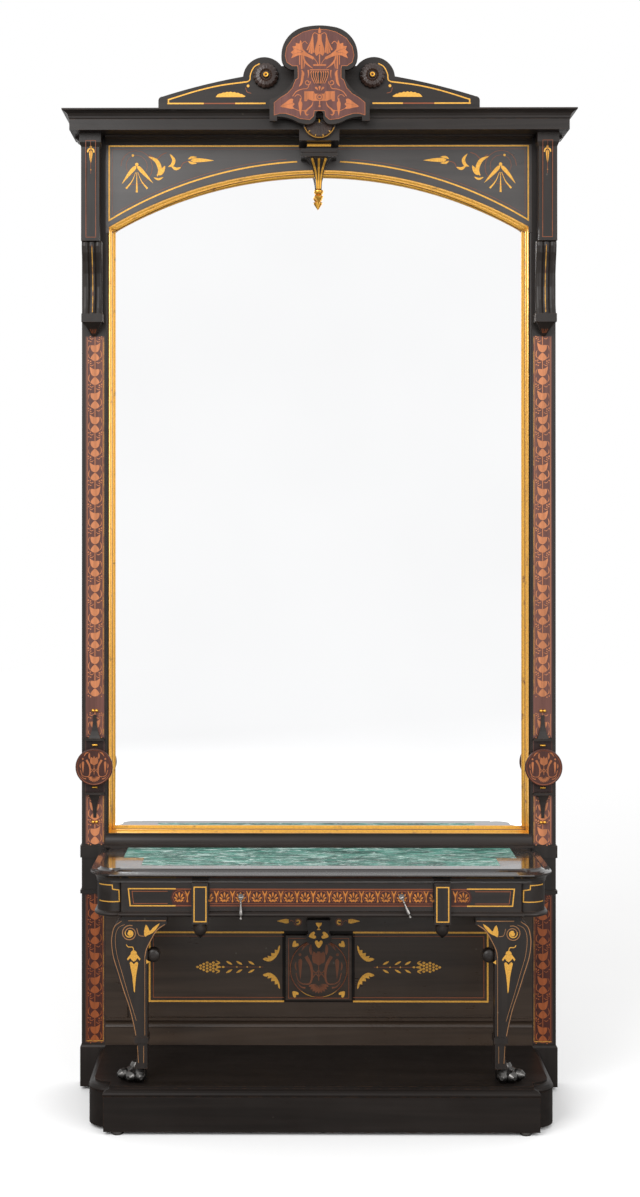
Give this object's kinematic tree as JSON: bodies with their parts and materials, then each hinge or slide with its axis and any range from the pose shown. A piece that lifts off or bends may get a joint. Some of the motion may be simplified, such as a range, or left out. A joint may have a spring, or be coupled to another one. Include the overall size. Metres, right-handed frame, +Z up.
{
  "type": "pier mirror with console",
  "caption": "Tall ebonised pier mirror with marquetry and gilt lines, arched plate, crested cornice and a marble-topped console with a drawer, scroll legs and a platform base.",
  "frame": {"origin": "on the floor, in the middle of the whole piece's width and depth", "axes": "+Z up, +Y towards the wall, +X to the viewer's right"},
  "size_m": [1.462, 0.462, 3.042],
  "materials": {
    "pilaster_left": "ebonised, satin polish",
    "pilaster_right": "ebonised, satin polish",
    "upper_piers": "ebonised, satin polish",
    "scroll_bracket_left": "ebonised, satin polish",
    "scroll_bracket_right": "ebonised, satin polish",
    "bracket_drops": "ebonised, satin polish",
    "roundel_supports": "ebonised, satin polish",
    "shoulder_blocks": "ebonised, satin polish",
    "plinth_blocks": "ebonised, satin polish",
    "arched_head": "ebonised, satin polish",
    "sill_rail": "ebonised, satin polish",
    "backboards": "ebonised, satin polish",
    "cornice_fascia": "ebonised, satin polish",
    "cornice_crown": "ebonised, satin polish",
    "bed_mould": "ebonised, satin polish",
    "pediment_left": "ebonised, satin polish",
    "pediment_right": "ebonised, satin polish",
    "pediment_rosettes": "ebonised, satin polish",
    "keystone": "ebonised, satin polish",
    "shell": "ebonised, satin polish",
    "table_top": "ebonised, satin polish",
    "apron_end_left": "ebonised, satin polish",
    "apron_end_right": "ebonised, satin polish",
    "drawer_rail": "ebonised, satin polish",
    "apron_blocks": "ebonised, satin polish",
    "block_pendants": "ebonised, satin polish",
    "drawer_front": "ebonised, satin polish",
    "drawer_box": "ebonised, satin polish",
    "drawer_runners": "ebonised, satin polish",
    "back_panel": "ebonised, satin polish",
    "trefoil": "ebonised, satin polish",
    "platform": "ebonised, satin polish",
    "base_front": "ebonised, satin polish",
    "base_corner_left": "ebonised, satin polish",
    "base_corner_right": "ebonised, satin polish",
    "glides": "ebonised, satin polish",
    "leg_left": "ebonised, satin polish",
    "leg_right": "ebonised, satin polish",
    "leg_bosses": "ebonised, satin polish",
    "paw_left": "ebonised, satin polish",
    "paw_right": "ebonised, satin polish",
    "marquetry_strip_left": "marquetry veneer, polished",
    "marquetry_strip_right": "marquetry veneer, polished",
    "roundel_left": "marquetry veneer, polished",
    "roundel_right": "marquetry veneer, polished",
    "crest_top": "marquetry veneer, polished",
    "crest_body": "marquetry veneer, polished",
    "plaque": "marquetry veneer, polished",
    "gilt_beads": "gilded wood",
    "gilt_slip_left": "gilded wood",
    "gilt_slip_right": "gilded wood",
    "gilt_slip_sill": "gilded wood",
    "gilt_slip_arch": "gilded wood",
    "arrow_pendant": "gilded wood",
    "marble": "polished green marble",
    "mirror_plate": "silvered glass",
    "pull_eye_left": "bright steel, worn",
    "pull_eye_right": "bright steel, worn",
    "pull_drop_left": "bright steel, worn",
    "pull_drop_right": "bright steel, worn"
  },
  "bodies": {
    "frame": {"pilaster_left": "pilaster_left", "pilaster_right": "pilaster_right", "upper_piers": "upper_piers", "scroll_bracket_left": "scroll_bracket_left", "scroll_bracket_right": "scroll_bracket_right", "bracket_drops": "bracket_drops", "roundel_supports": "roundel_supports", "shoulder_blocks": "shoulder_blocks", "plinth_blocks": "plinth_blocks", "arched_head": "arched_head", "sill_rail": "sill_rail", "backboards": "backboards", "cornice_fascia": "cornice_fascia", "cornice_crown": "cornice_crown", "bed_mould": "bed_mould", "pediment_left": "pediment_left", "pediment_right": "pediment_right", "pediment_rosettes": "pediment_rosettes", "keystone": "keystone", "shell": "shell", "table_top": "table_top", "apron_end_left": "apron_end_left", "apron_end_right": "apron_end_right", "drawer_rail": "drawer_rail", "apron_blocks": "apron_blocks", "block_pendants": "block_pendants", "drawer_runners": "drawer_runners", "back_panel": "back_panel", "trefoil": "trefoil", "platform": "platform", "base_front": "base_front", "base_corner_left": "base_corner_left", "base_corner_right": "base_corner_right", "glides": "glides", "leg_left": "leg_left", "leg_right": "leg_right", "leg_bosses": "leg_bosses", "paw_left": "paw_left", "paw_right": "paw_right", "marquetry_strip_left": "marquetry_strip_left", "marquetry_strip_right": "marquetry_strip_right", "roundel_left": "roundel_left", "roundel_right": "roundel_right", "crest_top": "crest_top", "crest_body": "crest_body", "plaque": "plaque", "gilt_beads": "gilt_beads", "gilt_slip_left": "gilt_slip_left", "gilt_slip_right": "gilt_slip_right", "gilt_slip_sill": "gilt_slip_sill", "gilt_slip_arch": "gilt_slip_arch", "arrow_pendant": "arrow_pendant", "marble": "marble", "mirror_plate": "mirror_plate"},
    "drawer": {"drawer_front": "drawer_front", "drawer_box": "drawer_box"},
    "eye_left": {"pull_eye_left": "pull_eye_left"},
    "eye_right": {"pull_eye_right": "pull_eye_right"},
    "drop_left": {"pull_drop_left": "pull_drop_left"},
    "drop_right": {"pull_drop_right": "pull_drop_right"}
  },
  "joints": [
    {"name": "drawer_slide", "type": "slide", "parent": "frame", "child": "drawer", "axis": [0, -1, 0], "range_m": [0, 0.24]},
    {"name": "eye_left_turn", "type": "hinge", "parent": "drawer", "child": "eye_left", "pos_m": [-0.217, -0.189, 0.631], "axis": [0, 1, 0], "range_deg": [-40, 40]},
    {"name": "eye_right_turn", "type": "hinge", "parent": "drawer", "child": "eye_right", "pos_m": [0.217, -0.189, 0.631], "axis": [0, 1, 0], "range_deg": [-17, 63]},
    {"name": "drop_left_swing", "type": "hinge", "parent": "eye_left", "child": "drop_left", "pos_m": [-0.217, -0.204, 0.631], "axis": [-1, 0, 0], "range_deg": [0, 80]},
    {"name": "drop_right_swing", "type": "hinge", "parent": "eye_right", "child": "drop_right", "pos_m": [0.217, -0.204, 0.631], "axis": [-0.9205, 0, -0.3907], "range_deg": [0, 80]}
  ]
}
